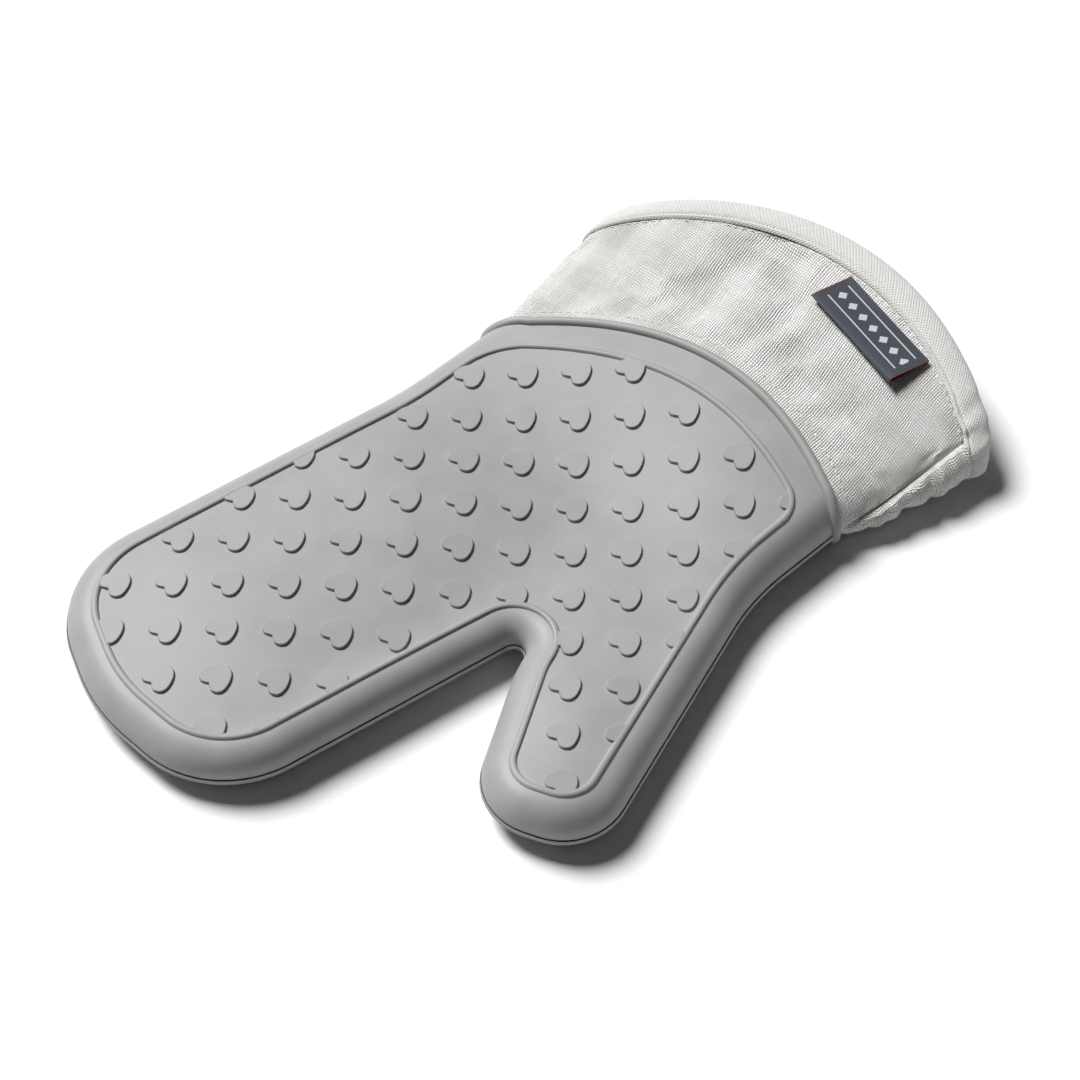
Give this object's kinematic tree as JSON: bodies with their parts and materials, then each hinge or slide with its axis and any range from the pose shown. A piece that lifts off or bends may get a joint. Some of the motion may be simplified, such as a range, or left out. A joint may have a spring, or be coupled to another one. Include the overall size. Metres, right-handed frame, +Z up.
{
  "type": "oven mitt",
  "caption": "Silicone oven mitt with raised hearts, quilted inside, and a flared cotton canvas cuff with a bound hem and a small woven tab.",
  "frame": {"origin": "middle of the underside, on the surface the mitt lies on", "axes": "+Z up through the palm face, +Y from the fingertips to the cuff, +X towards the thumb"},
  "size_m": [0.1972, 0.3188, 0.0327],
  "materials": {
    "silicone": "satin moulded silicone",
    "wadding": "soft polyester wadding",
    "lining": "plain woven cotton",
    "canvas": "plain woven cotton canvas with a faint check",
    "binding": "folded cotton binding",
    "thread": "twisted sewing thread",
    "label": "woven damask tab"
  },
  "bodies": {
    "glove": {"palm_skin_hand": "silicone", "palm_wadding_hand": "wadding", "palm_lining_hand": "lining", "back_skin_hand": "silicone", "back_wadding_hand": "wadding", "back_lining_hand": "lining", "palm_cuff_canvas": "canvas", "back_cuff_canvas": "canvas", "palm_cuff_lining": "lining", "back_cuff_lining": "lining", "hem_binding": "binding", "collar_stitching": "thread", "hem_stitching": "thread"},
    "fingers": {"palm_skin_fingers": "silicone", "palm_wadding_fingers": "wadding", "palm_lining_fingers": "lining", "back_skin_fingers": "silicone", "back_wadding_fingers": "wadding", "back_lining_fingers": "lining"},
    "thumb": {"palm_skin_thumb": "silicone", "palm_wadding_thumb": "wadding", "palm_lining_thumb": "lining", "back_skin_thumb": "silicone", "back_wadding_thumb": "wadding", "back_lining_thumb": "lining"},
    "label": {"label": "label"}
  },
  "joints": [
    {"name": "finger_bend", "type": "hinge", "parent": "glove", "child": "fingers", "pos_m": [-0.03684, -0.07318, 0.019], "axis": [-0.9882, 0.153, 0], "range_deg": [0, 60], "stiffness_Nm_per_rad": 0.4},
    {"name": "thumb_bend", "type": "hinge", "parent": "glove", "child": "thumb", "pos_m": [0.06656, -0.05219, 0.019], "axis": [-0.9048, -0.4258, 0], "range_deg": [0, 55], "stiffness_Nm_per_rad": 0.25},
    {"name": "label_lift", "type": "hinge", "parent": "glove", "child": "label", "pos_m": [0.02313, 0.14064, 0.03029], "axis": [-0.983, 0.1733, 0.0614], "range_deg": [0, 110]}
  ]
}
